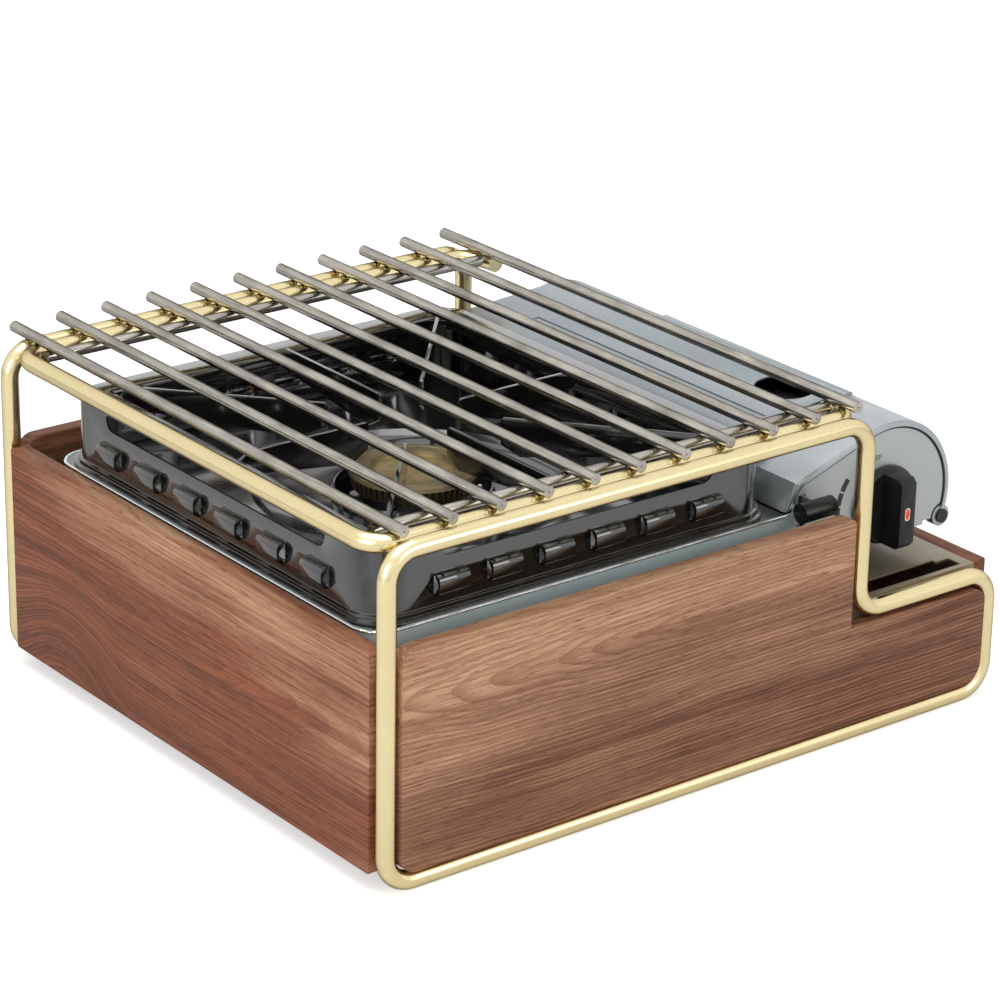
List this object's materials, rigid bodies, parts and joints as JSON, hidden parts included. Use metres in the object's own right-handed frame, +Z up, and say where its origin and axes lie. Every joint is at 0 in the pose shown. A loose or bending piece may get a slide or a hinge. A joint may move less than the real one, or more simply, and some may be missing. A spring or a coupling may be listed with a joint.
{
  "type": "butane cassette stove with serving stand",
  "caption": "Flat butane cassette stove standing in a stepped serving stand of brass bar, walnut boards and a steel rod grate.",
  "frame": {"origin": "middle of the stand's footprint, on the table", "axes": "+X along the long front side towards the cartridge end, +Y to the back, +Z up"},
  "size_m": [0.3956, 0.3492, 0.1836],
  "materials": {
    "brass_bar": "satin",
    "walnut": "satin",
    "shelf_coat": "satin",
    "rod_steel": "brushed",
    "zinc_steel": "satin",
    "chassis_paint": "metallic satin",
    "black_enamel": "gloss",
    "hood_paint": "metallic satin",
    "fascia_paint": "satin",
    "burner_brass": "aged",
    "cast_alloy": "as cast",
    "plated_steel": "plated",
    "electrode_ceramic": "glazed",
    "lead_sleeve": "satin",
    "black_plastic": "satin",
    "pointer_plastic": "gloss",
    "foot_rubber": "matte",
    "can_paint": "gloss",
    "valve_brass": "satin"
  },
  "bodies": {
    "stand": {"front_wire_frame": "brass_bar", "rear_wire_frame": "brass_bar", "top_ring": "brass_bar", "front_panel": "walnut", "rear_panel": "walnut", "left_panel": "walnut", "right_panel": "walnut", "stove_shelf": "shelf_coat", "panel_screws": "zinc_steel"},
    "grate": {"grate_rods": "rod_steel", "grate_cross_bars": "rod_steel"},
    "stove": {"chassis": "chassis_paint", "chassis_feet": "foot_rubber", "heat_partition": "chassis_paint", "cartridge_bay": "hood_paint", "bay_bulkhead": "hood_paint", "bay_end_plate": "hood_paint", "drip_pan": "black_enamel", "burner_base": "cast_alloy", "burner_cap": "burner_brass", "burner_screws": "zinc_steel", "mixing_tube": "plated_steel", "gas_nozzle": "valve_brass", "igniter_electrode": "electrode_ceramic", "igniter_lead": "lead_sleeve", "regulator_body": "cast_alloy", "regulator_cap": "cast_alloy", "regulator_cover": "hood_paint", "front_fascia": "fascia_paint", "fascia_screws": "zinc_steel", "lever_pin": "zinc_steel", "release_spring": "zinc_steel", "hinge_pin": "black_plastic"},
    "pan_rest": {"pan_support": "black_enamel"},
    "lid": {"cartridge_lid": "hood_paint"},
    "knob": {"gas_knob": "black_plastic", "knob_pointer": "pointer_plastic", "valve_shaft": "valve_brass"},
    "lever": {"lock_lever": "zinc_steel", "lever_grip": "black_plastic"},
    "cartridge": {"cartridge_carrier": "plated_steel", "cartridge_can": "can_paint", "cartridge_collar": "plated_steel", "cartridge_valve": "valve_brass"}
  },
  "joints": [
    {"name": "grate_lift", "type": "slide", "parent": "stand", "child": "grate", "axis": [0, 0, 1], "range_m": [0, 0.06]},
    {"name": "stove_draw", "type": "slide", "parent": "stand", "child": "stove", "axis": [1, 0, 0], "range_m": [0, 0.4]},
    {"name": "lid_hinge", "type": "hinge", "parent": "stove", "child": "lid", "pos_m": [0.18452, -0.00487, 0.0937], "axis": [0, 1, 0], "range_deg": [0, 105]},
    {"name": "pan_rest_lift", "type": "slide", "parent": "stove", "child": "pan_rest", "axis": [0, 0, 1], "range_m": [0, 0.0045]},
    {"name": "knob_turn", "type": "hinge", "parent": "stove", "child": "knob", "pos_m": [0.1415, -0.14188, 0.1105], "axis": [0, -1, 0], "range_deg": [0, 100]},
    {"name": "cartridge_slide", "type": "slide", "parent": "stove", "child": "cartridge", "axis": [0, -1, 0], "range_m": [0, 0.00698]},
    {"name": "lever_press", "type": "hinge", "parent": "stove", "child": "lever", "pos_m": [0.0845, -0.10587, 0.1245], "axis": [1, 0, 0], "range_deg": [0, 20]}
  ],
  "couplings": [
    {"joint": "lid_hinge", "follows": "stove_draw", "rad_per_m": 4.58},
    {"joint": "lever_press", "follows": "cartridge_slide", "rad_per_m": 50}
  ]
}
